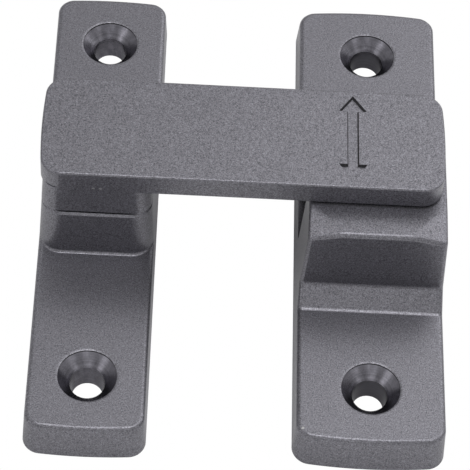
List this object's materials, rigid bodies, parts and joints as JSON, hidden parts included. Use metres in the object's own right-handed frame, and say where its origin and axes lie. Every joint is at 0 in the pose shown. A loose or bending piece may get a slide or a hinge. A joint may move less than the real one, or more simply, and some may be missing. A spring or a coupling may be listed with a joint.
{
  "type": "barn door latch",
  "caption": "Surface-mounted swing bar latch for a sliding barn door: screwed base with pivot, flat turning bar and humped keeper plate.",
  "frame": {"origin": "on the bar's pivot axis at the mounting face, midway between the base plate's two screw holes", "axes": "+X from the pivot towards the keeper along the closed bar, +Y up along the plates, +Z out of the mounting face"},
  "size_m": [0.0587, 0.0796, 0.0233],
  "materials": {
    "cast_paint": "satin",
    "steel": "satin",
    "bronze": "satin",
    "acetal": "matte"
  },
  "bodies": {
    "mounted": {"latch_base": "cast_paint", "keeper": "cast_paint", "pivot_bush": "bronze", "friction_washer": "acetal"},
    "swinging": {"swing_bar": "cast_paint", "lower_disc_spring": "steel", "upper_disc_spring": "steel", "clamp_washer": "steel", "pivot_screw": "steel"}
  },
  "joints": [
    {"name": "bar_swing", "type": "hinge", "parent": "mounted", "child": "swinging", "pos_m": [0, 0, 0], "axis": [0, 0, 1], "range_deg": [-90, 90]}
  ]
}
